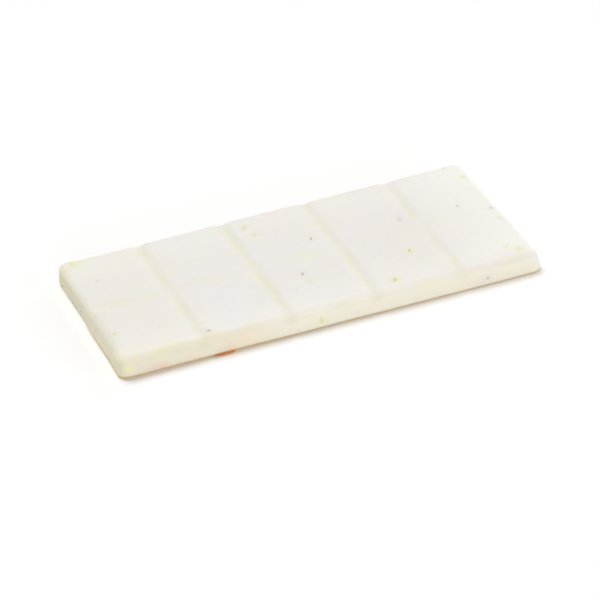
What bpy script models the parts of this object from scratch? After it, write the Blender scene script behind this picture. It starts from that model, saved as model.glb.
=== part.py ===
"""A moulded bar of white chocolate, five tablets long and two wide.

The bar lies on its flat back with the moulded side up. X runs along the bar,
Y across it and Z up. The origin is the middle of the back. Sizes are in metres.

The bar is one solid: a slab whose sides lean in as the mould's did, scored by
cross grooves that run out at both long sides, and by a faint lengthwise groove.
Its back is flat and rises a little towards the rim, so the rim clears the table.
"""

import math

import bmesh
import bpy

# The tablets
TABLET_COLUMNS = 5
TABLET_ROWS = 2
COLUMN_PITCH = 0.0314  # one tablet and one cross groove, along the bar
ROW_PITCH = 0.03875  # one tablet and one lengthwise groove, across the bar
END_TRIM = 0.0010  # each end tablet is this much shorter than the pitch

# The slab
BAR_LENGTH = TABLET_COLUMNS * COLUMN_PITCH - 2 * END_TRIM
BAR_WIDTH = TABLET_ROWS * ROW_PITCH
BAR_HEIGHT = 0.0080
SIDE_DRAFT = 0.10  # how far a side leans in, for each unit of height
PLAN_CORNER_RADIUS = 0.0036
TOP_EDGE_RADIUS = 0.0032
BACK_EDGE_RADIUS = 0.0004
BACK_RIM_RISE = 0.0005  # how far the rim of the back clears the table
BACK_RIM_REACH = 0.0060  # how far in from the rim the back is flat
PLAN_CORNER_STEPS = 6
TOP_EDGE_STEPS = 6
BACK_EDGE_STEPS = 2

# The cross grooves
CROSS_DEPTH = 0.0010
CROSS_HALF_WIDTH = 0.0036  # from the middle of the groove to its lip
MOUTH_LENGTH = 0.0035  # how far in from the side the tablets' corners round off
MOUTH_FLARE = 0.0012  # how much each side of the groove opens there
MOUTH_STEPS = 5
SECTION_STEPS = 12  # facets across the groove

# The lengthwise groove
LONG_DEPTH = 0.0003
LONG_WIDTH = 0.0060
LONG_SIDES = 96  # of the round bar that cuts it

CLEARANCE = 0.0010  # how far a cutter passes the surface that it cuts

IVORY = (0.847, 0.807, 0.708, 1.0)  # scene-linear
IVORY_ROUGHNESS = 0.48


def clear_scene():
    for found in list(bpy.data.objects):
        bpy.data.objects.remove(found)


def new_collection(name):
    collection = bpy.data.collections.new(name)
    bpy.context.scene.collection.children.link(collection)
    return collection


def add_object(name, bm, collection):
    mesh = bpy.data.meshes.new(name)
    bm.to_mesh(mesh)
    bm.free()
    made = bpy.data.objects.new(name, mesh)
    collection.objects.link(made)
    return made


def bevel_edges(bm, edges, radius, steps):
    bmesh.ops.bevel(
        bm,
        geom=edges,
        offset=radius,
        offset_type="OFFSET",
        segments=steps,
        profile=0.5,
        affect="EDGES",
    )


def edges_at_height(bm, height):
    """The rim of the slab at one height."""
    near = BACK_EDGE_RADIUS / 10
    return [e for e in bm.edges if all(abs(v.co.z - height) < near for v in e.verts)]


def slab_mesh():
    """A block with leaning sides, round corners and edges, and a slightly raised back rim."""
    bm = bmesh.new()
    side_height = BAR_HEIGHT - BACK_RIM_RISE
    bmesh.ops.create_cube(bm, size=1.0)
    bmesh.ops.scale(bm, vec=(BAR_LENGTH, BAR_WIDTH, side_height), verts=bm.verts)
    bmesh.ops.translate(bm, vec=(0, 0, BACK_RIM_RISE + side_height / 2), verts=bm.verts)
    lean = SIDE_DRAFT * side_height
    upper = [v for v in bm.verts if v.co.z > BAR_HEIGHT / 2]
    for corner in upper:
        corner.co.x -= math.copysign(lean, corner.co.x)
        corner.co.y -= math.copysign(lean, corner.co.y)
    upright = [e for e in bm.edges if (e.verts[0] in upper) != (e.verts[1] in upper)]
    bevel_edges(bm, upright, PLAN_CORNER_RADIUS, PLAN_CORNER_STEPS)
    bevel_edges(bm, edges_at_height(bm, BAR_HEIGHT), TOP_EDGE_RADIUS, TOP_EDGE_STEPS)
    bevel_edges(bm, edges_at_height(bm, BACK_RIM_RISE), BACK_EDGE_RADIUS, BACK_EDGE_STEPS)
    bm.normal_update()
    back = min(bm.faces, key=lambda face: face.normal.z)
    bmesh.ops.inset_region(bm, faces=[back], thickness=BACK_RIM_REACH, depth=BACK_RIM_RISE)
    return bm


def groove_section(half_width):
    """Across a cross groove: a soft trough, closed by a lid above the tablets.

    The depth falls off as the squared cosine from the middle to the lip, so the
    floor and both lips are round.
    """
    points = []
    for step in range(SECTION_STEPS + 1):
        share = 2 * step / SECTION_STEPS - 1
        depth = CROSS_DEPTH * math.cos(math.pi / 2 * share) ** 2
        points.append((half_width * share, -depth))
    points.append((half_width, CLEARANCE))
    points.append((-half_width, CLEARANCE))
    return points


def half_width_at(distance_in):
    """Half the groove's width, by how far in from the bar's side it is taken.

    The two tablets' corners round off there, each as a quarter of an ellipse.
    """
    share = min(max(1 - distance_in / MOUTH_LENGTH, 0.0), 1.0)
    return CROSS_HALF_WIDTH + MOUTH_FLARE * (1 - math.sqrt(1 - share * share))


def groove_stations():
    """Where across the bar the groove's section is taken, from side to side."""
    side = BAR_WIDTH / 2
    mouth = []
    for step in range(MOUTH_STEPS + 1):
        angle = math.pi / 2 * step / MOUTH_STEPS
        mouth.append(side - MOUTH_LENGTH * (1 - math.sin(angle)))
    mouth.append(side + CLEARANCE)
    return [-y for y in reversed(mouth)] + mouth


def cross_groove_mesh():
    """A loft of the groove's section along Y, wider where it meets the sides."""
    bm = bmesh.new()
    rings = []
    for y in groove_stations():
        section = groove_section(half_width_at(BAR_WIDTH / 2 - abs(y)))
        rings.append([bm.verts.new((x, y, z)) for x, z in section])
    for ring, following in zip(rings, rings[1:]):
        for i in range(len(ring)):
            j = (i + 1) % len(ring)
            bm.faces.new((ring[i], ring[j], following[j], following[i]))
    bm.faces.new(rings[0])
    bm.faces.new(rings[-1])
    bmesh.ops.recalc_face_normals(bm, faces=bm.faces)
    return bm


def long_groove_mesh(radius):
    """A round bar along X, longer than the chocolate bar."""
    bm = bmesh.new()
    bmesh.ops.create_cone(
        bm,
        cap_ends=True,
        segments=LONG_SIDES,
        radius1=radius,
        radius2=radius,
        depth=BAR_LENGTH + 2 * CLEARANCE,
    )
    for v in bm.verts:
        v.co.x, v.co.z = v.co.z, -v.co.x
    return bm


def middles(count, pitch):
    """The places between neighbouring tablets, centred on the bar."""
    return [(i - count / 2) * pitch for i in range(1, count)]


def add_cutters(collection):
    cutters = []
    for i, x in enumerate(middles(TABLET_COLUMNS, COLUMN_PITCH)):
        cutter = add_object(f"cross_groove_{i + 1}", cross_groove_mesh(), collection)
        cutter.location = (x, 0, BAR_HEIGHT)
        cutters.append(cutter)
    # A circle of this radius is LONG_WIDTH wide where it is LONG_DEPTH deep
    radius = (LONG_WIDTH**2 / 4 + LONG_DEPTH**2) / (2 * LONG_DEPTH)
    for i, y in enumerate(middles(TABLET_ROWS, ROW_PITCH)):
        cutter = add_object(f"long_groove_{i + 1}", long_groove_mesh(radius), collection)
        cutter.location = (0, y, BAR_HEIGHT - LONG_DEPTH + radius)
        cutters.append(cutter)
    for cutter in cutters:
        cutter.hide_render = True
        cutter.display_type = "WIRE"
    return cutters


def ivory_material():
    material = bpy.data.materials.new("ivory_chocolate")
    material.use_nodes = True
    shader = material.node_tree.nodes["Principled BSDF"]
    shader.inputs["Base Color"].default_value = IVORY
    shader.inputs["Roughness"].default_value = IVORY_ROUGHNESS
    shader.inputs["Metallic"].default_value = 0.0
    return material


def build_bar():
    bar = add_object("chocolate_bar", slab_mesh(), new_collection("chocolate_bar"))
    for cutter in add_cutters(new_collection("cutters")):
        cut = bar.modifiers.new(cutter.name, "BOOLEAN")
        cut.operation = "DIFFERENCE"
        cut.solver = "EXACT"
        cut.object = cutter
    bar.data.materials.append(ivory_material())
    bar.data.shade_smooth()
    bar.data.set_sharp_from_angle(angle=math.radians(35))
    return bar


clear_scene()
build_bar()
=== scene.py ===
import math

import bmesh
import bpy
import numpy as np
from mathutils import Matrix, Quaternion, Vector


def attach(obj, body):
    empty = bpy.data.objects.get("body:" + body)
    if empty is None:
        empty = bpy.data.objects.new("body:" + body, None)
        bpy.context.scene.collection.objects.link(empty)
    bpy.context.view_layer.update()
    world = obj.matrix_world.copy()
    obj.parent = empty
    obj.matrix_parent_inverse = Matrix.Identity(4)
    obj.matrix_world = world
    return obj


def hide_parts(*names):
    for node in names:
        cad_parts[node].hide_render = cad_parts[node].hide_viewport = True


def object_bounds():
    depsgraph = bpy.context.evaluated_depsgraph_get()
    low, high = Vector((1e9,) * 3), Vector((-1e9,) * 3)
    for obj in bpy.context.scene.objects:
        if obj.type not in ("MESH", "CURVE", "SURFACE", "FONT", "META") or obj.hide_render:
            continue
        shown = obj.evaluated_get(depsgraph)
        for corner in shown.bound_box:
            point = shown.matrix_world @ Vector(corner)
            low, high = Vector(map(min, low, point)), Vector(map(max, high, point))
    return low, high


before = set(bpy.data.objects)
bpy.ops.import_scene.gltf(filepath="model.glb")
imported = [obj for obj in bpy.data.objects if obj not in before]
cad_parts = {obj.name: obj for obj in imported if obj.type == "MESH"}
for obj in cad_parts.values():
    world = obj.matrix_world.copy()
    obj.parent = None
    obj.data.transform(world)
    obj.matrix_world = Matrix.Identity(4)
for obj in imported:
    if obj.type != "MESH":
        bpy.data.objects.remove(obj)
cadLow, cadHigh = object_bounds()
mm = 0.001
print("frame loaded:", sorted(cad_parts))


def gridFaces(rows, columns, start=0, closed=False):
    # quads of a grid whose points are numbered row by row; closed joins the last column to the first
    ids = start + np.arange(rows * columns).reshape(rows, columns)
    if closed:
        ids = np.concatenate([ids, ids[:, :1]], axis=1)
    quads = np.stack([ids[:-1, :-1], ids[1:, :-1], ids[1:, 1:], ids[:-1, 1:]], axis=-1)
    return quads.reshape(-1, 4)


def meshPiece(name, points, quads, attributes, weld=1e-6):
    # a smooth, closed, outward-facing object from arrays of points and quads
    mesh = bpy.data.meshes.new(name)
    mesh.vertices.add(len(points))
    mesh.vertices.foreach_set("co", np.asarray(points, np.float32).ravel())
    mesh.loops.add(quads.size)
    mesh.loops.foreach_set("vertex_index", quads.ravel().astype(np.int32))
    mesh.polygons.add(len(quads))
    mesh.polygons.foreach_set("loop_start", np.arange(0, quads.size, 4, dtype=np.int32))
    mesh.update(calc_edges=True)
    for key, values in attributes.items():
        layer = mesh.attributes.new(key, "FLOAT", "POINT")
        layer.data.foreach_set("value", np.asarray(values, np.float32).ravel())
    bm = bmesh.new()
    bm.from_mesh(mesh)
    bmesh.ops.remove_doubles(bm, verts=bm.verts, dist=weld)
    bmesh.ops.dissolve_degenerate(bm, edges=bm.edges, dist=weld / 10)
    bmesh.ops.recalc_face_normals(bm, faces=bm.faces)
    bm.to_mesh(mesh)
    bm.free()
    mesh.shade_smooth()
    piece = bpy.data.objects.new(name, mesh)
    bpy.context.scene.collection.objects.link(piece)
    return piece


def easeBetween(value, low, high):
    # 0 up to low, 1 from high on, and the smooth cubic step between
    share = np.clip((value - low) / (high - low), 0, 1)
    return share * share * (3 - 2 * share)


def easedLine(half, count, fineAt):
    # places from -half to half, packed closer where fineAt = (middle, reach, gain) asks for it:
    # the running sum of a density made of bell curves is cut into equal shares
    fine = np.linspace(-half, half, 6001)
    density = np.ones_like(fine)
    for middle, reach, gain in fineAt:
        density += gain * np.exp(-((fine - middle) / reach) ** 2)
    run = np.concatenate([[0], np.cumsum((density[1:] + density[:-1]) / 2)])
    return np.interp(np.linspace(0, run[-1], count), run, fine)


def valueNoise(x, y, cell, seed):
    # random heights from -1 to 1 at the corners of square cells, eased between by a fifth-power curve
    heights = np.random.default_rng(seed).uniform(-1, 1, (64, 64))
    i, j = np.floor(x / cell).astype(int), np.floor(y / cell).astype(int)
    s, t = x / cell - i, y / cell - j
    s, t = s**3 * (s * (6 * s - 15) + 10), t**3 * (t * (6 * t - 15) + 10)
    near = heights[i % 64, j % 64] * (1 - s) + heights[(i + 1) % 64, j % 64] * s
    far = heights[i % 64, (j + 1) % 64] * (1 - s) + heights[(i + 1) % 64, (j + 1) % 64] * s
    return near * (1 - t) + far * t


bar = dict(
    columns=5,
    pitch=31.4 * mm,  # one tablet and one cross groove
    swell=0.3 * mm,  # how far each long side stands past the plain solid
    draft=0.10,  # how far a side leans in, for each unit of height
    planCorner=3.6 * mm,
    topRound=3.4 * mm,
    leftSharper=1.0 * mm,  # how much less round the left end's upper edge is
    rimRound=0.3 * mm,  # the lower edge
    riseLeft=0.9 * mm,  # how far the lower edge clears the table at each end
    riseRight=0.2 * mm,
    shoulderDrop=0.30 * mm,  # the face falls off a little towards the sides
    shoulderReach=7.5 * mm,
    grooveDepth=0.42 * mm,
    grooveHalf=3.6 * mm,
    mouthExtra=0.65 * mm,  # how much deeper a groove gets where it runs out
    mouthReach=3.5 * mm,  # how far in from the side a groove opens out
    mouthFlare=1.2 * mm,
    seamDepth=0.18 * mm,  # the faint lengthwise groove
    seamHalf=5.0 * mm,
    seamOffset=-1.2 * mm,
    seamWander=1.0 * mm,  # how far it strays to each side at the left end
    collar=6.5 * mm,  # how far in from the outline the flat middle starts
    blendReach=14.0 * mm,
    # the cell, height and seed of each slow wave, on the moulded face and on the back
    waves=((23 * mm, 0.05 * mm, 3), (9 * mm, 0.02 * mm, 4), (3.5 * mm, 0.006 * mm, 5)),
    backWaves=((19 * mm, 0.10 * mm, 7), (7 * mm, 0.04 * mm, 8)),
    sway=0.15 * mm,  # slow sideways waves of the whole bar
    nearTabletOut=0.65 * mm,  # how far the left end's near tablet stands out past the far one
    nearTabletLean=1.5 * mm,  # how much more it leans in, at the top
    nickDepth=0.5 * mm,  # of the nick in the left end
    nickHalf=2.5 * mm,
    nickAt=-1.0 * mm,
    stepsAlong=221,  # places along and across the flat middle
    stepsAcross=101,
    fanSteps=9,  # between the ends of a corner
    shoulderSteps=7,  # rows on each stretch of the profile, from the face round to the back
    roundSteps=12,
    sideSteps=7,
    rimSteps=5,
    backSteps=6,
    backStart=0.8 * mm,  # how far in the first row on the back is
    fineReach=3.0 * mm,  # places are packed closer round a groove, by up to this much more
    fineGroove=1.6,
    fineSeam=1.0,
)
height = cadHigh.z - cadLow.z
halfLength = (cadHigh.x - cadLow.x) / 2
halfWidth = (cadHigh.y - cadLow.y) / 2 + bar["swell"]
coreX = halfLength - bar["collar"]
coreY = halfWidth - bar["collar"]


def grooveMiddles():
    return [(i - bar["columns"] / 2) * bar["pitch"] for i in range(1, bar["columns"])]


def hollow(distance, half):
    # a soft trough: the squared cosine from its middle to its lip, and nothing past the lip
    return np.cos(math.pi / 2 * np.clip(np.abs(distance) / half, 0, 1)) ** 2


def nearRim(x, y, reach):
    # 0 in the middle and 1 at the outline: how near the closest sides are, by the square of the share
    alongX = np.clip(1 - (halfLength - np.abs(x)) / reach, 0, 1)
    alongY = np.clip(1 - (halfWidth - np.abs(y)) / reach, 0, 1)
    return 1 - (1 - alongX**2) * (1 - alongY**2)


def grooveMouth(y):
    # 0 inside the bar and 1 at its long sides
    return np.clip(1 - (halfWidth - np.abs(y)) / bar["mouthReach"], 0, 1)


def crossGrooves(x, y):
    # how deep the cross grooves are at a place, from 0 to 1; near the sides each opens out as
    # the corners of its two tablets round off, as quarters of an ellipse; the last one to the
    # right is nearly lost in the middle of the bar
    half = bar["grooveHalf"] + bar["mouthFlare"] * (1 - np.sqrt(1 - grooveMouth(y) ** 2))
    lost = 0.85 * easeBetween(x, 25 * mm, 40 * mm) * (1 - easeBetween(np.abs(y - 0.5 * mm), 3 * mm, 10 * mm))
    return sum(hollow(x - middle, half) for middle in grooveMiddles()) * (1 - lost)


def seamMiddle(x):
    # one sine wave to each tablet, weaker to the right
    stray = bar["seamWander"] * (0.5 - 0.5 * x / halfLength)
    return bar["seamOffset"] - stray * np.sin(2 * math.pi * x / bar["pitch"])


def longSeam(x, y):
    # clearest at the left end, and it comes and goes from there on until it is lost at the right
    clear = 0.55 + 0.45 * easeBetween(-x, 30 * mm, 60 * mm) + 0.25 * valueNoise(x, 0 * y, 17 * mm, 6)
    clear *= 1 - 0.3 * easeBetween(x, 5 * mm, 25 * mm) - 0.7 * easeBetween(x, 60 * mm, 70 * mm)
    return clear * hollow(y - seamMiddle(x), bar["seamHalf"]) * (1 - crossGrooves(x, y))


def topHeight(x, y):
    # the moulded face: flat tablets that fall off towards the sides, less grooves and slow waves
    groove = crossGrooves(x, y) * (bar["grooveDepth"] + bar["mouthExtra"] * grooveMouth(y))
    shoulder = bar["shoulderDrop"] * nearRim(x, y, bar["shoulderReach"])
    wave = sum(size * valueNoise(x, y, cell, seed) for cell, size, seed in bar["waves"])
    return height - groove - bar["seamDepth"] * longSeam(x, y) - shoulder - np.abs(wave)


def backHeight(x, y):
    # the poured back: slow waves above the table, and a rim that rises clear of it, more at the left
    left = 0.5 - 0.5 * x / halfLength
    rise = bar["riseRight"] + (bar["riseLeft"] - bar["riseRight"]) * left
    rim = nearRim(x, y, bar["collar"] + 2 * mm)
    wave = sum(size * (1 + valueNoise(x, y, cell, seed)) for cell, size, seed in bar["backWaves"])
    return rise * rim + wave * (1 - rim)


def edgeRadius(x):
    # of the round upper edge, tighter at the left end
    return bar["topRound"] - bar["leftSharper"] * easeBetween(-x, halfLength - 8 * mm, halfLength - 2 * mm)


def roundStart(x):
    # how far in from the outline the round edge starts
    return edgeRadius(x) + bar["draft"] * (height - edgeRadius(x))


def rimPath(xs, ys, fanSteps):
    # once round the core: the places on its border and the way each faces, with a fan at each corner
    fan = np.radians(np.linspace(0, 90, fanSteps + 2)[1:-1])
    runs = []
    sides = ((xs, -coreY), (ys, coreX), (xs[::-1], coreY), (ys[::-1], -coreX))
    for quarter, (places, level) in enumerate(sides):
        facing = math.radians(quarter * 90 - 90)
        fixed = np.full(len(places), level)
        line = (places, fixed) if quarter % 2 == 0 else (fixed, places)
        runs.append((line[0], line[1], np.full(len(places), facing)))
        runs.append((np.full(fanSteps, line[0][-1]), np.full(fanSteps, line[1][-1]), facing + fan))
    return [np.concatenate(part) for part in zip(*runs)]


def pushOut(place, core):
    # how much of the corner's outward shift a place on the core's border takes: none along the
    # straight middle, the square of the share over the last stretch, and all of it at the corner
    share = np.clip((np.abs(place) - (core - bar["blendReach"])) / bar["blendReach"], 0, 1) ** 2
    return np.sign(place) * share


def rimPlace(path, inset):
    # where the rim is at some inset from the outline: the core's border pushed out, with a corner
    # radius that grows evenly from nothing at the core to the plan's own at the outline
    pathX, pathY, facing = path
    outward = 1 - inset / bar["collar"]
    extra = (bar["collar"] - bar["planCorner"]) * outward
    radius = bar["planCorner"] * outward
    x = pathX + pushOut(pathX, coreX) * extra + radius * np.cos(facing)
    y = pathY + pushOut(pathY, coreY) * extra + radius * np.sin(facing)
    return x, y


def barSkin():
    # three grids that share their borders: the moulded face, the poured back, and a profile of
    # shoulder, round edge, leaning side, lower edge and raised rim, carried round the bar
    lips = [(middle, bar["fineReach"], bar["fineGroove"]) for middle in grooveMiddles()]
    xs = easedLine(coreX, bar["stepsAlong"], lips)
    ys = easedLine(coreY, bar["stepsAcross"], [(bar["seamOffset"], bar["fineReach"], bar["fineSeam"])])
    x, y = (part.ravel() for part in np.meshgrid(xs, ys, indexing="ij"))
    top = np.stack([x, y, topHeight(x, y)], axis=-1)
    back = np.stack([x, y, backHeight(x, y)], axis=-1)
    path = rimPath(xs, ys, bar["fanSteps"])
    rows = []

    def addRow(inset, level):
        px, py = rimPlace(path, inset)
        rows.append(np.stack([px, py, level(px, py)], axis=-1))

    rimX, _ = rimPlace(path, 0)
    radius, start = edgeRadius(rimX), roundStart(rimX)
    for share in np.linspace(0, 1, bar["shoulderSteps"] + 1)[:-1]:
        addRow(bar["collar"] + (start - bar["collar"]) * share, topHeight)
    sideTop = topHeight(*rimPlace(path, start)) - radius
    for angle in np.radians(np.linspace(0, 90, bar["roundSteps"] + 1)):
        inset = bar["draft"] * sideTop + radius * (1 - math.sin(angle))
        drop = radius * (1 - math.cos(angle))
        addRow(inset, lambda px, py: topHeight(px, py) - drop)
    edgeTop = rows[-1][:, 2]
    rimLow = backHeight(*rimPlace(path, bar["rimRound"]))
    edgeLow = rimLow + bar["rimRound"]
    for share in np.linspace(0, 1, bar["sideSteps"] + 1)[1:]:
        z = edgeTop + (edgeLow - edgeTop) * share
        addRow(bar["draft"] * z, lambda px, py: z)
    for angle in np.radians(np.linspace(0, 90, bar["rimSteps"] + 1)[1:]):
        inset = bar["draft"] * edgeLow + bar["rimRound"] * (1 - math.cos(angle))
        z = rimLow + bar["rimRound"] * (1 - math.sin(angle))
        addRow(inset, lambda px, py: z)
    for inset in np.linspace(bar["backStart"], bar["collar"], bar["backSteps"] + 1):
        addRow(inset, backHeight)
    skirt = np.concatenate(rows)
    quads = np.concatenate([
        gridFaces(len(xs), len(ys)),
        gridFaces(len(xs), len(ys), start=len(top)),
        gridFaces(len(rows), len(path[0]), start=2 * len(top), closed=True),
    ])
    return np.concatenate([top, back, skirt]), quads


def roundDrop(x, inset):
    # how far the round edge has fallen below the face, this far in from the outline
    radius = edgeRadius(x)
    into = np.clip(roundStart(x) - inset, 0, radius)
    return radius - np.sqrt(radius**2 - into**2)


def sideInset(x, z):
    # how far in from the outline the side is at a height: its lean, and the round edge above it
    radius = edgeRadius(x)
    over = np.clip(z - (height - bar["shoulderDrop"] - radius), 0, 0.99 * radius)
    return bar["draft"] * z + radius - np.sqrt(radius**2 - over**2)


def onSkin(face, a, b):
    # places on one face of the bar, and the way it faces: along X and Y on the moulded face and the
    # back, along X and Z on the long sides, along Y and Z on the ends
    if face == "top":
        inset = np.minimum(halfLength - np.abs(a), halfWidth - np.abs(b))
        return np.stack([a, b, topHeight(a, b) - roundDrop(a, inset)], axis=-1), (0, 0, 1)
    if face == "under":
        return np.stack([a, b, backHeight(a, b)], axis=-1), (0, 0, -1)
    way = -1 if face in ("front", "left") else 1
    if face in ("front", "back"):
        return np.stack([a, way * (halfWidth - sideInset(a, b)), b], axis=-1), (0, way, 0)
    return np.stack([way * (halfLength - sideInset(way * halfLength, b)), a, b], axis=-1), (way, 0, 0)


def nickShare(y):
    return hollow(y - bar["nickAt"], bar["nickHalf"])


def settle(points):
    # the whole bar's own slight unevenness, the same for whatever sits in it: slow sideways waves,
    # and a left end whose near tablet stands out a little past its far one, leans in more above,
    # and has a small nick where the seam ends
    x, y, z = points[:, 0], points[:, 1], points[:, 2]
    moved = points.copy()
    moved[:, 0] += bar["sway"] * valueNoise(y + 40 * mm, z + x, 15 * mm, 11)
    moved[:, 1] += bar["sway"] * valueNoise(x + 90 * mm, z + y, 19 * mm, 12)
    leftEnd = easeBetween(-x, halfLength - 16 * mm, halfLength)
    moved[:, 0] -= bar["nearTabletOut"] * leftEnd * easeBetween(-y, -7 * mm, 3 * mm)
    nearTablet = easeBetween(-y, 0, 4 * mm) * (1 - easeBetween(-y, 24 * mm, 36 * mm))
    leanIn = bar["nearTabletLean"] * nearTablet + bar["nickDepth"] * nickShare(y)
    moved[:, 0] += leftEnd * z / height * leanIn
    return moved


def newMaterial(name):
    material = bpy.data.materials.new(name)
    material.use_nodes = True
    tree = material.node_tree
    return material, tree, tree.nodes["Principled BSDF"]


def addNode(tree, kind, **settings):
    node = tree.nodes.new(kind)
    for key, value in settings.items():
        if key in node.inputs:
            node.inputs[key].default_value = value
        else:
            setattr(node, key, value)
    return node


def objectPlace(tree):
    return addNode(tree, "ShaderNodeTexCoord").outputs["Object"]


def attributeValue(tree, name):
    return addNode(tree, "ShaderNodeAttribute", attribute_name=name).outputs["Fac"]


def newGroup(name, inputs, outputs):
    group = bpy.data.node_groups.new(name, "ShaderNodeTree")
    for label, kind, value in inputs:
        socket = group.interface.new_socket(name=label, in_out="INPUT", socket_type=kind)
        if value is not None:
            socket.default_value = value
    for label, kind in outputs:
        group.interface.new_socket(name=label, in_out="OUTPUT", socket_type=kind)
    return group, group.nodes.new("NodeGroupInput"), group.nodes.new("NodeGroupOutput")


def useGroup(tree, group, **values):
    node = tree.nodes.new("ShaderNodeGroup")
    node.node_tree = group
    for key, value in values.items():
        node.inputs[key].default_value = value
    return node


def rangeShare(tree, value, low, high, least=0.0, most=1.0):
    # least up to low, most from high on, and straight between
    span = tree.nodes.new("ShaderNodeMapRange")
    for label, number in (("From Min", low), ("From Max", high), ("To Min", least), ("To Max", most)):
        span.inputs[label].default_value = number
    tree.links.new(value, span.inputs["Value"])
    return span.outputs["Result"]


def noiseShare(tree, place, scale, detail, low, high, most=1.0):
    noise = addNode(tree, "ShaderNodeTexNoise", Scale=scale, Detail=detail)
    tree.links.new(place, noise.inputs["Vector"])
    return rangeShare(tree, noise.outputs["Fac"], low, high, 0.0, most)


def blendColours(tree, share, first, second):
    mix = tree.nodes.new("ShaderNodeMix")
    mix.data_type = "RGBA"
    for socket, value in ((mix.inputs[0], share), (mix.inputs[6], first), (mix.inputs[7], second)):
        if isinstance(value, bpy.types.NodeSocket):
            tree.links.new(value, socket)
        else:
            socket.default_value = value
    return mix.outputs[2]


def makeIvoryTone():
    # cream with slow butter-yellow clouds and small, hardly paler flecks
    group, given, made = newGroup(
        "ivoryTone",
        [
            ("Place", "NodeSocketVector", None),
            ("Cream", "NodeSocketColor", (0.787, 0.761, 0.730, 1)),
            ("Butter", "NodeSocketColor", (0.777, 0.744, 0.688, 1)),
            ("Milk", "NodeSocketColor", (0.83, 0.80, 0.772, 1)),
        ],
        [("Colour", "NodeSocketColor")],
    )
    place = given.outputs["Place"]
    clouds = noiseShare(group, place, scale=38.0, detail=2.0, low=0.35, high=0.75, most=0.7)
    flecks = noiseShare(group, place, scale=420.0, detail=2.0, low=0.5, high=0.8, most=0.25)
    warm = blendColours(group, clouds, given.outputs["Cream"], given.outputs["Butter"])
    pale = blendColours(group, flecks, warm, given.outputs["Milk"])
    group.links.new(pale, made.inputs["Colour"])
    return group


def makeWaxySkin():
    # fine dimples over a slow ripple, and a gloss that comes and goes with it
    group, given, made = newGroup(
        "waxySkin",
        [
            ("Place", "NodeSocketVector", None),
            ("Dull", "NodeSocketFloat", 0.6),
            ("Bright", "NodeSocketFloat", 0.42),
        ],
        [("Height", "NodeSocketFloat"), ("Roughness", "NodeSocketFloat")],
    )
    place = given.outputs["Place"]
    dimples = noiseShare(group, place, scale=1600.0, detail=3.0, low=0.2, high=0.8)
    ripple = noiseShare(group, place, scale=260.0, detail=2.0, low=0.2, high=0.8)
    total = addNode(group, "ShaderNodeMath", operation="MULTIPLY_ADD")
    total.inputs[1].default_value = 0.35  # the dimples' share of the height
    group.links.new(dimples, total.inputs[0])
    group.links.new(ripple, total.inputs[2])
    group.links.new(total.outputs[0], made.inputs["Height"])
    span = group.nodes.new("ShaderNodeMapRange")
    group.links.new(ripple, span.inputs["Value"])
    group.links.new(given.outputs["Dull"], span.inputs["To Min"])
    group.links.new(given.outputs["Bright"], span.inputs["To Max"])
    group.links.new(span.outputs["Result"], made.inputs["Roughness"])
    return group


ivoryTone = makeIvoryTone()
waxySkin = makeWaxySkin()
print("shared finishes made")


def addSkin(tree, shader, dull, bright, bumpDepth):
    # gloss and fine relief from the shared skin
    skin = useGroup(tree, waxySkin, Dull=dull, Bright=bright)
    tree.links.new(objectPlace(tree), skin.inputs["Place"])
    tree.links.new(skin.outputs["Roughness"], shader.inputs["Roughness"])
    bump = addNode(tree, "ShaderNodeBump", Strength=1.0, Distance=bumpDepth)
    tree.links.new(skin.outputs["Height"], bump.inputs["Height"])
    tree.links.new(bump.outputs["Normal"], shader.inputs["Normal"])


chocolate = dict(
    shoulderTone=(0.82, 0.785, 0.63, 1),  # round edges: painted shade, yellower than the face, whose whiter tone is painted sheen
    # upright sides: painted shade, yellower than the face, whose whiter tone is painted sheen
    sideTone=(0.81, 0.77, 0.60, 1),
    duskTone=(0.775, 0.733, 0.545, 1),  # painted shade on the left end, darker and yellower
    hollowTone=(0.765, 0.745, 0.59, 1),  # painted shade in the grooves and the seam
    paleTone=(0.88, 0.865, 0.80, 1),  # painted light: paler where the face catches more light, towards its sides and right end, on the near round edge and at the nick
    footTone=(0.70, 0.47, 0.19, 1),  # painted contact shadow, tan, just at the lower edge and round the back's rim
    rimTone=(0.75, 0.755, 0.765, 1),  # painted sheen on the right end's round edge: cool grey instead of yellow
    glow=(0.36, 0.275, 0.06, 1),  # how much light passes each skin on its way to the table
    dull=0.78,
    bright=0.62,
    relief=0.012 * mm,
    sink=1.8 * mm,  # how far light travels inside
    sinkShare=0.8,  # how much of the light goes in
    sinkColours=(1.0, 0.75, 0.45),  # how far it travels in red, green and blue, by sink
    refraction=1.45,
    specular=0.35,
)


def ivoryColour(tree):
    # the shared tone with painted light and shade over it: paler where the face catches more light,
    # yellower round edges and sides beside its whiter painted sheen, painted shade on the left end and in
    # the grooves, a tan painted contact shadow along the lower edge and a cool painted sheen on the right
    # end's round edge, with the stains over it all
    tone = useGroup(tree, ivoryTone)
    tree.links.new(objectPlace(tree), tone.inputs["Place"])
    colour = tone.outputs["Colour"]
    for name in ("pale", "shoulder", "side", "rim", "dusk", "hollow", "foot"):
        colour = blendColours(tree, attributeValue(tree, name), colour, chocolate[name + "Tone"])
    for name, stain in stains.items():
        colour = blendColours(tree, attributeValue(tree, name), colour, stain["tone"])
    return colour


def waxyBody(shader):
    # light sinks in and comes out a little way off, farthest in red
    shader.inputs["Subsurface Weight"].default_value = chocolate["sinkShare"]
    shader.inputs["Subsurface Radius"].default_value = chocolate["sinkColours"]
    shader.inputs["Subsurface Scale"].default_value = chocolate["sink"]
    shader.inputs["IOR"].default_value = chocolate["refraction"]
    shader.inputs["Specular IOR Level"].default_value = chocolate["specular"]


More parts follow.
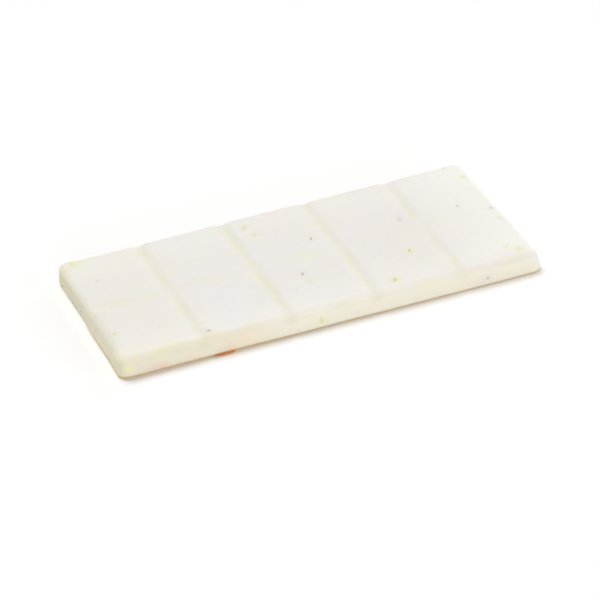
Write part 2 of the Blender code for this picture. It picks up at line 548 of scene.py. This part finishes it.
def letLightThrough(tree, shader, tint):
    # what lies in the piece's shadow gets a little light through it, in the tint of its inside
    path = tree.nodes.new("ShaderNodeLightPath")
    clear = addNode(tree, "ShaderNodeBsdfTransparent", Color=tint)
    either = tree.nodes.new("ShaderNodeMixShader")
    tree.links.new(path.outputs["Is Shadow Ray"], either.inputs[0])
    tree.links.new(shader.outputs[0], either.inputs[1])
    tree.links.new(clear.outputs[0], either.inputs[2])
    tree.links.new(either.outputs[0], tree.nodes["Material Output"].inputs["Surface"])


def ivoryChocolate():
    material, tree, shader = newMaterial("ivoryChocolate")
    tree.links.new(ivoryColour(tree), shader.inputs["Base Color"])
    addSkin(tree, shader, chocolate["dull"], chocolate["bright"], chocolate["relief"])
    waxyBody(shader)
    letLightThrough(tree, shader, chocolate["glow"])
    return material


# Small inclusions. A spot is its face, its place there and its width in mm, how plainly it shows,
# how narrow it is and how far it is turned, in degrees
herbs = dict(
    core=(0.42, 0.50, 0.09, 1),
    deep=(0.26, 0.31, 0.06, 1),
    spots=(
        ("top", 36.7, -15.9, 1.35, 0.36, 2.0, -17),
        ("top", 24.8, -32.8, 1.6, 0.38, 1.8, -17),
        ("top", -9.3, 28.8, 2.2, 0.17, 1.7, -17),
        ("top", -7.7, 21.9, 1.6, 0.14, 1.6, -17),
        ("top", -72.3, 34.4, 1.8, 0.14, 1.0, 20),
        ("top", 73.5, -9.7, 1.0, 0.16, 1.8, -17),
        ("top", 67.9, -29.8, 1.0, 0.14, 1.8, -17),
        ("top", 70.9, -33.7, 1.6, 0.11, 1.9, -17),
        ("top", 73.5, 25.6, 1.4, 0.12, 1.6, -17),
        ("top", -74.2, -20.2, 2.0, 0.17, 0.9, 0),
        ("top", -67.1, -0.5, 1.0, 0.06, 0.6, 10),
        ("top", -0.3, 36.2, 1.3, 0.10, 0.9, 0),
        ("top", -1.7, -19.1, 2.5, 0.08, 0.8, 0),
        ("front", -4.8, 3.1, 2.8, 0.22, 0.5, 90),
        ("back", -52.0, 4.2, 1.2, 0.4, 0.8, 30),
        ("back", 21.5, 3.0, 1.0, 0.3, 0.7, 100),
        ("right", -22.0, 4.4, 1.2, 0.35, 0.8, 15),
        ("under", -58.0, 17.5, 1.4, 0.45, 0.8, 0),
        ("under", -31.5, -22.0, 1.0, 0.3, 0.6, 50),
        ("under", 6.5, 9.0, 1.3, 0.4, 0.9, 120),
        ("under", 28.0, -27.5, 1.1, 0.25, 0.7, 80),
        ("under", 61.0, 21.0, 1.2, 0.45, 0.8, 30),
    ),
)
berries = dict(
    core=(0.40, 0.18, 0.16, 1),
    deep=(0.24, 0.10, 0.09, 1),
    spots=(
        ("top", -2.2, -13.1, 1.15, 0.46, 2.0, -17),
        ("top", -43.9, -34.2, 1.9, 0.47, 0.6, -50),
        ("top", 64.7, 12.4, 0.9, 0.08, 1.0, 0),
        ("back", 2.0, 3.6, 0.9, 0.7, 0.8, 60),
        ("right", 27.0, 2.6, 0.8, 0.6, 0.8, 0),
        ("under", -66.0, -14.0, 0.9, 0.8, 0.8, 0),
        ("under", -12.5, 26.0, 0.8, 0.6, 0.7, 40),
        ("under", 41.0, 4.5, 1.0, 0.7, 0.9, 90),
    ),
)
spices = dict(
    core=(0.24, 0.19, 0.10, 1),
    deep=(0.11, 0.085, 0.05, 1),
    spots=(
        ("top", 8.9, 9.1, 1.15, 0.37, 2.2, -17),
        ("top", -67.6, 18.1, 1.8, 0.14, 0.7, 5),
        ("top", 41.6, 7.0, 2.4, 0.12, 1.2, 0),
        ("top", 63.4, 6.0, 1.2, 0.22, 1.9, -17),
        ("top", 73.3, -1.2, 0.9, 0.38, 1.4, -17),
        ("top", 69.7, 35.7, 1.3, 0.22, 1.2, -17),
        ("top", -44.1, 35.6, 1.0, 0.3, 0.9, 0),
        ("top", -73.8, -30.2, 1.0, 0.12, 0.5, 0),
        ("top", -8.3, -22.9, 1.6, 0.04, 1.2, 0),
        ("top", 34.4, -1.8, 1.3, 0.12, 0.5, 10),
        ("top", -58.7, -23.6, 1.0, 0.08, 0.9, 0),
        ("front", 56.8, 2.7, 1.5, 0.3, 0.7, 10),
        ("front", -13.5, 1.7, 0.8, 0.25, 0.8, 20),
        ("left", 31.8, 1.7, 0.9, 0.9, 0.8, 0),
        ("left", 19.5, 0.9, 0.8, 0.8, 0.8, 30),
        ("left", 9.9, 2.4, 0.7, 0.6, 0.8, 0),
        ("back", -20.0, 4.9, 0.9, 0.5, 0.8, 10),
        ("back", 47.5, 2.2, 0.8, 0.5, 0.7, 70),
        ("right", 12.0, 3.8, 0.9, 0.5, 0.8, 0),
        ("under", -44.0, 3.0, 1.0, 0.6, 0.8, 0),
        ("under", -20.5, -8.5, 0.8, 0.5, 0.8, 30),
        ("under", 17.0, 30.0, 0.9, 0.6, 0.7, 60),
        ("under", 33.5, 19.0, 0.8, 0.4, 0.8, 0),
        ("under", 52.0, -16.0, 1.0, 0.6, 0.8, 110),
        ("under", 70.5, 1.5, 0.9, 0.5, 0.8, 0),
    ),
)

# Soft stains, each of one tone. A spot is its face, its place there and its reach in mm, and its strength
stains = dict(
    # this grey stain also carries painted shade on the near side, added to it further on
    smoky=dict(tone=(0.70, 0.67, 0.60, 1), spots=[("top", -7.7, 22.0, 1.5, 0.25)]),
    leafy=dict(
        tone=(0.80, 0.80, 0.44, 1),
        spots=[
            ("front", -74.4, 4.2, 1.3, 1.0),
            ("left", -35.0, 3.5, 1.8, 0.4),
            ("left", 31.5, 4.5, 3.5, 0.4),
            ("top", -70.0, 27.0, 7.0, 0.1),
            ("top", 2.5, -1.3, 4.0, 0.12),
            ("top", 70.9, -33.6, 2.6, 0.2),
            ("top", -71.5, -33.0, 4.0, 0.12),
            ("top", -71.0, 34.6, 2.6, 0.5),
            ("top", 8.5, 10.0, 1.6, 0.25),
        ],
    ),
    rosy=dict(
        tone=(0.76, 0.56, 0.50, 1),
        spots=[
            ("front", -65.4, 1.5, 1.7, 0.55),
            ("front", -62.4, 1.6, 1.7, 0.6),
            ("left", -7.3, 3.5, 2.2, 0.25),
            ("front", -38.5, 2.6, 2.6, 0.25),
            ("front", 55.5, 3.5, 4.0, 0.05),
        ],
    ),
    amber=dict(
        tone=(0.93, 0.56, 0.34, 1),
        spots=[
            ("left", 30.4, 5.4, 2.8, 0.12),
            ("front", -37.6, 1.2, 1.0, 0.7),
            ("front", -33.0, 3.5, 3.0, 0.12),
        ],
    ),
)


def tingeRound(kind, share, least=0.0):
    # each inclusion tinges the chocolate round it, a little past its rim and by how plainly it shows
    halos = []
    for face, a, b, width, plain, narrow, _ in kind["spots"]:
        reach = 0.3 * width * (1 + narrow) + 0.7
        halos.append((face, a, b, reach, least + share * plain))
    return halos


stains["leafy"]["spots"] += tingeRound(herbs, 1.7, 0.12)
stains["rosy"]["spots"] += tingeRound(berries, 0.5)
stains["smoky"]["spots"] += tingeRound(spices, 0.8)


def stainMask(points, spots):
    # the sum of a bell curve round each spot, by how far off it is in space
    total = np.zeros(len(points))
    for face, a, b, reach, strength in spots:
        place, _ = onSkin(face, np.array(a * mm), np.array(b * mm))
        away = ((points - place) ** 2).sum(axis=1)
        total += strength * np.exp(-away / (reach * mm) ** 2)
    return np.minimum(total, 1)


# how much of the painted light and shade each place takes, and where
tinge = dict(
    edgeStart=2.5 * mm,  # how far below the upper edge the round edges' tone is half in
    edgeSoft=3.6 * mm,  # how far to each side of there it comes in
    edgeStray=0.6 * mm,  # how far its start strays
    nearIn=2.8 * mm,  # how much sooner it starts along the near side
    nearInLeft=3.0 * mm,  # how much sooner still towards the left there
    tabletWave=1.8 * mm,  # how far it comes and goes along each tablet there
    waveLength=0.55,  # by the tablet's length
    waveShift=0.06,
    leftIn=3.0 * mm,  # how much sooner it starts along the left end
    edgeFade=0.52,  # how much weaker it is towards the right
    leftFace=0.12,  # how much of it is all over the left of the bar
    grooveShare=0.66,
    groovePatches=0.26,
    seamShare=0.35,
    milkyAcross=0.45,  # towards the long sides
    milkyEnd=0.6,  # towards the right end
    milkyRound=0.45,  # on the near side's round edge
    milkyNick=0.5,
    nickClear=0.6,  # how much the nick lacks of the edge and side tones
    sideShare=0.85,
    sidePatches=0.15,
    sideFade=0.85,  # how much weaker it is towards the right
    nearSideSmoke=0.5,
    footShare=0.5,
    footMore=0.4,  # towards the near left
    footReach=0.3 * mm,  # up the side, and as much again towards the near left
    footUnder=2 * mm,  # how far in it fades on the back
    rimShare=0.7,
)


def rightwardShare(x):
    # 0 at the left of the bar and 1 from near its middle on
    return easeBetween(x, -45 * mm, -15 * mm)


def nearBand(y):
    return easeBetween(-y, halfWidth - 10 * mm, halfWidth - 2 * mm)


def leftBand(x):
    return easeBetween(-x, halfLength - 10 * mm, halfLength - 2 * mm)


def grooveShade(x, y):
    # painted shade in the grooves: patchy, weaker towards the sides in the last groove to the right,
    # where the seam crosses, and along the near side, and gone at the far side
    patches = tinge["groovePatches"] * valueNoise(x, y, 8 * mm, 32)
    shown = crossGrooves(x, y) * (tinge["grooveShare"] + patches)
    shown *= 1 - 0.35 * easeBetween(x, 25 * mm, 40 * mm) * easeBetween(np.abs(y), 15 * mm, 28 * mm)
    shown *= 1 - 0.35 * hollow(y - seamMiddle(x), 4 * mm)
    return shown * easeBetween(halfWidth - y, 1.5 * mm, 8 * mm) * (1 - 0.3 * nearBand(y))


def edgeShade(x, y, down):
    # the round edges' painted shade, by how far down the skin a place is: along the near side it
    # starts farther in, more so to the left, in a cosine wave that is calmer where a groove runs out
    mouths = sum(hollow(x - at, 5 * mm) for at in grooveMiddles())
    alongTablet = (x / bar["pitch"] + 0.5 * bar["columns"]) % 1
    turns = (alongTablet - tinge["waveShift"]) / tinge["waveLength"]
    wave = tinge["tabletWave"] * np.cos(2 * math.pi * turns) * (1 - 0.6 * mouths)
    near = tinge["nearIn"] + tinge["nearInLeft"] * easeBetween(-x, -5 * mm, 40 * mm) + wave
    inward = np.maximum(nearBand(y) * near, tinge["leftIn"] * leftBand(x))
    start = tinge["edgeStart"] - inward + tinge["edgeStray"] * valueNoise(x, y, 9 * mm, 31)
    return easeBetween(down, start - tinge["edgeSoft"], start + tinge["edgeSoft"])


def paintedLightShare(x, y, down, above, rightEnd):
    # painted light, paler where more light falls: on the face towards the right end and the long
    # sides, weaker at the far one, and on the near side's round edge towards the right
    across = np.clip(1 - (halfWidth - np.abs(y)) / (30 * mm), 0, 1) ** 2
    across *= tinge["milkyAcross"] * (1 - 0.8 * easeBetween(y, 26 * mm, 37 * mm))
    end = tinge["milkyEnd"] * easeBetween(x, 42 * mm, halfLength) * (1 - 0.7 * rightEnd)
    end *= 1 - 0.9 * nearBand(y)
    rounding = tinge["milkyRound"] * nearBand(y) * hollow(down - 0.2 * mm, 2.4 * mm)
    rounding *= rightwardShare(x) * (1 - 0.7 * easeBetween(x, 42 * mm, 58 * mm))
    return (across + end) * above + rounding


def toneMasks(points, slope):
    # how much of each tone a place has; slope is how far it faces up. Down is how far it lies down
    # the skin from the upper edge, less than 0 on the face
    x, y, z = points[:, 0], points[:, 1], points[:, 2]
    inset = np.maximum(np.minimum(halfLength - np.abs(x), halfWidth - np.abs(y)), 0)
    down = height - z - inset
    above = easeBetween(z, 0.5 * height, 0.7 * height)
    front, left, rightward = nearBand(y), leftBand(x), rightwardShare(x)
    nick = nickShare(y) * left * easeBetween(z, 4 * mm, 7 * mm)
    leftward = easeBetween(-x, 5 * mm, 60 * mm)
    nearLeft = leftward * easeBetween(-y, -5 * mm, 20 * mm)
    rightEnd = easeBetween(x, halfLength - 6 * mm, halfLength - 1 * mm)
    rightEnd *= 1 - easeBetween(down, 3 * mm, 6 * mm)
    # painted shade: the upright sides and round edges yellower than the face, weaker towards the right
    patches = tinge["sidePatches"] * valueNoise(x, z + 30 * mm, 7 * mm, 33)
    side = (tinge["sideShare"] + patches) * (1 - easeBetween(slope, 0.15, 0.60))
    shoulder = np.maximum(
        edgeShade(x, y, down) * (1 - tinge["edgeFade"] * rightward),
        tinge["leftFace"] * easeBetween(-x, 25 * mm, 60 * mm),
    )
    # painted shade on the left end, stronger towards its far part
    dusk = (0.2 + 0.8 * easeBetween(y, -20 * mm, 15 * mm)) * easeBetween(down, 0, 3 * mm)
    dusk *= easeBetween(-x, halfLength - 2.5 * mm, halfLength - 0.5 * mm)
    stained = {name: stainMask(points, stain["spots"]) for name, stain in stains.items()}
    # painted shade: the near side darker towards the left, added to the spices' grey stain
    nearShade = side * leftward * easeBetween(-y, halfWidth - 4 * mm, halfWidth - 1 * mm)
    stained["smoky"] = np.minimum(stained["smoky"] + tinge["nearSideSmoke"] * nearShade, 1)
    # painted contact shadow: tan along the lower edge and round the back's rim, wider towards the near left
    upContactShade = (z - backHeight(x, y)) / (tinge["footReach"] * (1 + nearLeft))
    foot = tinge["footShare"] + tinge["footMore"] * nearLeft
    foot = foot * np.exp(-(upContactShade**2) - (inset / tinge["footUnder"]) ** 2)
    clear = 1 - tinge["nickClear"] * nick
    return stained | {
        # painted light: paler where the face catches more light, with a painted highlight at the nick
        "pale": paintedLightShare(x, y, down, above, rightEnd) + tinge["milkyNick"] * nick,
        "shoulder": shoulder * clear * (1 - 0.8 * rightEnd),
        "side": side * clear * (1 - tinge["sideFade"] * rightward) * (1 - 0.3 * left),
        # painted sheen on the right end's round edge
        "rim": tinge["rimShare"] * rightEnd * easeBetween(down, -2 * mm, 0.5 * mm) * (1 - 0.6 * front),
        "dusk": dusk * (1 - 0.7 * nick),
        # painted shade in the grooves and the seam
        "hollow": (grooveShade(x, y) + tinge["seamShare"] * longSeam(x, y)) * above,
        "foot": foot,
    }


def buildBar():
    points, quads = barSkin()
    piece = meshPiece("ivory_bar", points, quads, {})
    mesh = piece.data
    places = np.empty(3 * len(mesh.vertices), np.float32)
    normals = np.empty_like(places)
    mesh.vertices.foreach_get("co", places)
    mesh.vertex_normals.foreach_get("vector", normals)
    places = places.reshape(-1, 3).astype(float)
    for key, values in toneMasks(places, normals.reshape(-1, 3)[:, 2]).items():
        layer = mesh.attributes.new(key, "FLOAT", "POINT")
        layer.data.foreach_set("value", values.astype(np.float32))
    mesh.vertices.foreach_set("co", settle(places).astype(np.float32).ravel())
    mesh.update()
    mesh.materials.append(ivoryChocolate())
    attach(piece, "root")
    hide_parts("chocolate_bar")
    return piece


ivoryBar = buildBar()
print("bar made:", len(ivoryBar.data.polygons), "faces")


flake = dict(
    rings=9,
    spokes=14,
    lift=0.05 * mm,  # how far its middle stands out of the skin
    sunk=0.20 * mm,
    tuck=0.02 * mm,  # how far its rim is beneath the skin
)


def flakePoints(spot, seed):
    # a closed flake that lies in the skin, in rings from the middle of its outer side over its rim
    # to the middle of its hidden side; two sine waves round it make the outline uneven
    face, a, b, width, plain, narrow, turn = spot
    around = np.linspace(0, 2 * math.pi, flake["spokes"], endpoint=False)[None, :]
    down = np.linspace(0, math.pi, flake["rings"])[:, None]
    first, second = np.random.default_rng(seed).uniform(0, 2 * math.pi, 2)
    uneven = 1 + 0.15 * np.sin(2 * around + first) + 0.10 * np.sin(3 * around + second)
    reach = width * mm / 2 * np.sin(down) * uneven
    along, across = reach * np.cos(around), narrow * reach * np.sin(around)
    c, s = math.cos(math.radians(turn)), math.sin(math.radians(turn))
    skin, outward = onSkin(face, a * mm + c * along - s * across, b * mm + s * along + c * across)
    rise = np.where(down < math.pi / 2, flake["lift"], flake["sunk"]) * np.cos(down) - flake["tuck"]
    points = skin + rise[..., None] * np.array(outward)
    rimward = np.sin(down) + 0 * around
    return points.reshape(-1, 3), rimward.ravel(), np.full(rimward.size, plain)


def flakeSet(spots, seed):
    # all flakes of one kind: their points, how near the rim each point is, how plainly it shows, quads
    parts = [flakePoints(spot, seed + i) for i, spot in enumerate(spots)]
    points, rimward, plain = (np.concatenate(part) for part in zip(*parts))
    rings, spokes = flake["rings"], flake["spokes"]
    quads = [gridFaces(rings, spokes, i * rings * spokes, closed=True) for i in range(len(parts))]
    return points, rimward, plain, quads


def makeFleckTone():
    # mottled from core to deep, blending into what is round it towards the rim and where it is faint
    group, given, made = newGroup(
        "fleckTone",
        [
            ("Place", "NodeSocketVector", None),
            ("Round", "NodeSocketColor", (0.8, 0.77, 0.73, 1)),
            ("Core", "NodeSocketColor", (0.4, 0.4, 0.2, 1)),
            ("Deep", "NodeSocketColor", (0.2, 0.2, 0.1, 1)),
            ("Rimward", "NodeSocketFloat", 0.0),
            ("Plain", "NodeSocketFloat", 1.0),
        ],
        [("Colour", "NodeSocketColor")],
    )
    mottle = noiseShare(group, given.outputs["Place"], scale=2600.0, detail=2.0, low=0.35, high=0.65)
    inner = blendColours(group, mottle, given.outputs["Core"], given.outputs["Deep"])
    shown = addNode(group, "ShaderNodeMath", operation="MULTIPLY")
    group.links.new(rangeShare(group, given.outputs["Rimward"], 0.6, 1.0, 1.0, 0.3), shown.inputs[0])
    group.links.new(given.outputs["Plain"], shown.inputs[1])
    whole = blendColours(group, shown.outputs[0], given.outputs["Round"], inner)
    group.links.new(whole, made.inputs["Colour"])
    return group


fleckTone = makeFleckTone()


def fleckMaterial(name, core, deep):
    material, tree, shader = newMaterial(name)
    tone = useGroup(tree, fleckTone, Core=core, Deep=deep)
    tree.links.new(objectPlace(tree), tone.inputs["Place"])
    tree.links.new(ivoryColour(tree), tone.inputs["Round"])
    for label, key in (("Rimward", "rimward"), ("Plain", "plain")):
        tree.links.new(attributeValue(tree, key), tone.inputs[label])
    tree.links.new(tone.outputs["Colour"], shader.inputs["Base Color"])
    addSkin(tree, shader, dull=0.75, bright=0.5, bumpDepth=2 * chocolate["relief"])
    shader.inputs["Specular IOR Level"].default_value = chocolate["specular"]
    return material


def buildFlecks(name, kind, seed):
    points, rimward, plain, quads = flakeSet(kind["spots"], seed)
    # above and beneath they take the tones of a level face, and round the sides of an upright one
    slopes = [1.0 if spot[0] in ("top", "under") else 0.1 for spot in kind["spots"]]
    slope = np.repeat(slopes, flake["rings"] * flake["spokes"])
    masks = toneMasks(points, slope) | {"rimward": rimward, "plain": plain}
    piece = meshPiece(name, settle(points), np.concatenate(quads), masks)
    piece.data.materials.append(fleckMaterial(name + "Finish", kind["core"], kind["deep"]))
    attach(piece, "root")


fruit = dict(
    core=(0.72, 0.32, 0.11, 1),
    deep=(0.55, 0.20, 0.06, 1),
    glow=(0.90, 0.35, 0.08, 1),
    lumpMiddle=(-40.4, -38.65, 0.42),  # in mm, at the near lower edge
    lumpHalf=(3.7, 1.05, 0.38),  # half sizes in mm
    lumpRings=17,
    lumpSpokes=24,
    spots=(
        ("under", -37.0, 20.5, 3.2, 0.9, 0.6, 20),
        ("under", 19.5, -13.0, 2.6, 0.8, 0.7, 75),
        ("under", 66.0, -25.0, 3.0, 0.9, 0.5, 130),
    ),
)


def lumpPoints():
    # a ball with its radius made uneven by sine waves down and round it, then stretched
    down = np.linspace(0, math.pi, fruit["lumpRings"])[:, None]
    around = np.linspace(0, 2 * math.pi, fruit["lumpSpokes"], endpoint=False)[None, :]
    uneven = 1 + np.sin(down) * (0.10 * np.sin(3 * around + 4 * down) + 0.06 * np.sin(5 * around - 3 * down))
    x = np.cos(down) + 0 * around
    y, z = np.sin(down) * np.cos(around), np.sin(down) * np.sin(around)
    ball = (np.stack([x, y, z], axis=-1) * uneven[..., None]).reshape(-1, 3)
    return np.array(fruit["lumpMiddle"]) * mm + ball * np.array(fruit["lumpHalf"]) * mm


def buildFruit():
    points, rimward, plain, quads = flakeSet(fruit["spots"], 400)
    lump = lumpPoints()
    quads.append(gridFaces(fruit["lumpRings"], fruit["lumpSpokes"], len(points), closed=True))
    masks = {
        "rimward": np.append(rimward, np.zeros(len(lump))),
        "plain": np.append(plain, np.ones(len(lump))),
    }
    points = settle(np.concatenate([points, lump]))
    piece = meshPiece("fruit_bits", points, np.concatenate(quads), masks)
    material = fleckMaterial("fruitFinish", fruit["core"], fruit["deep"])
    letLightThrough(material.node_tree, material.node_tree.nodes["Principled BSDF"], fruit["glow"])
    piece.data.materials.append(material)
    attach(piece, "root")


buildFlecks("herb_flecks", herbs, 100)
buildFlecks("berry_flecks", berries, 200)
buildFlecks("spice_flecks", spices, 300)
buildFruit()
print("flecks made:", len(herbs["spots"]) + len(berries["spots"]) + len(spices["spots"]))


stage = dict(
    floorHalf=6.0,
    floorColour=(0.96, 0.96, 0.96, 1),
    skyColour=(1.0, 1.0, 1.0, 1),
    skyStrength=0.20,
    seenSkyStrength=1.0,  # of the sky behind, as the eye meets it
    lamps=(
        # name, azimuth and height it shines from, how wide it looks, its strength
        ("keyLight", 192, 60, 40, 2.325),
        ("frontLight", -10, 3, 24, 1.28),
        ("frontHighLight", -10, 35, 40, 0.42),
        ("rightLight", 45, 8, 40, 0.93),
        ("backLight", 130, 15, 40, 0.75),
    ),
)


def buildFloor():
    mesh = bpy.data.meshes.new("floor")
    far = stage["floorHalf"]
    corners = [(-far, -far, 0), (far, -far, 0), (far, far, 0), (-far, far, 0)]
    mesh.from_pydata(corners, [], [(0, 1, 2, 3)])
    floor = bpy.data.objects.new("floor", mesh)
    bpy.context.scene.collection.objects.link(floor)
    material, _, shader = newMaterial("paleFloor")
    shader.inputs["Base Color"].default_value = stage["floorColour"]
    shader.inputs["Roughness"].default_value = 1.0
    shader.inputs["Specular IOR Level"].default_value = 0.0
    mesh.materials.append(material)


def fromAzimuth(azimuth, elevation):
    # the unit direction towards a place seen at this azimuth, from -Y towards +X, and this height
    a, e = math.radians(azimuth), math.radians(elevation)
    return Vector((math.sin(a) * math.cos(e), -math.cos(a) * math.cos(e), math.sin(e)))


def buildLamps():
    for name, azimuth, elevation, width, strength in stage["lamps"]:
        data = bpy.data.lights.new(name, "SUN")
        data.angle = math.radians(width)
        data.energy = strength
        lamp = bpy.data.objects.new(name, data)
        lamp.rotation_mode = "QUATERNION"
        lamp.rotation_quaternion = (-fromAzimuth(azimuth, elevation)).to_track_quat("-Z", "Y")
        bpy.context.scene.collection.objects.link(lamp)


def buildSky():
    # a plain pale room, brighter where it is looked at than in the light that it gives
    world = bpy.data.worlds.new("paleRoom")
    world.use_nodes = True
    tree = world.node_tree
    background = tree.nodes["Background"]
    background.inputs["Color"].default_value = stage["skyColour"]
    seen = tree.nodes.new("ShaderNodeLightPath").outputs["Is Camera Ray"]
    strength = rangeShare(tree, seen, 0, 1, stage["skyStrength"], stage["seenSkyStrength"])
    tree.links.new(strength, background.inputs["Strength"])
    bpy.context.scene.world = world
    bpy.context.scene.view_settings.view_transform = "Standard"


camera = dict(
    aim=(-5.6 * mm, -17.9 * mm, 0.85 * mm),
    distance=1.3595,
    azimuth=-16.71,
    elevation=29.56,
    roll=-6.2,
    lens=234.6,
    clipStart=0.01,
    clipEnd=100.0,
)


def buildCamera():
    data = bpy.data.cameras.new("camera")
    data.lens = camera["lens"]
    data.clip_start, data.clip_end = camera["clipStart"], camera["clipEnd"]
    eye = bpy.data.objects.new("camera", data)
    back = fromAzimuth(camera["azimuth"], camera["elevation"])
    eye.location = Vector(camera["aim"]) + back * camera["distance"]
    roll = Quaternion((0, 0, 1), math.radians(camera["roll"]))
    eye.rotation_mode = "QUATERNION"
    eye.rotation_quaternion = (-back).to_track_quat("-Z", "Y") @ roll
    bpy.context.scene.collection.objects.link(eye)
    bpy.context.scene.camera = eye


buildFloor()
buildLamps()
buildSky()
buildCamera()
print("stage made")
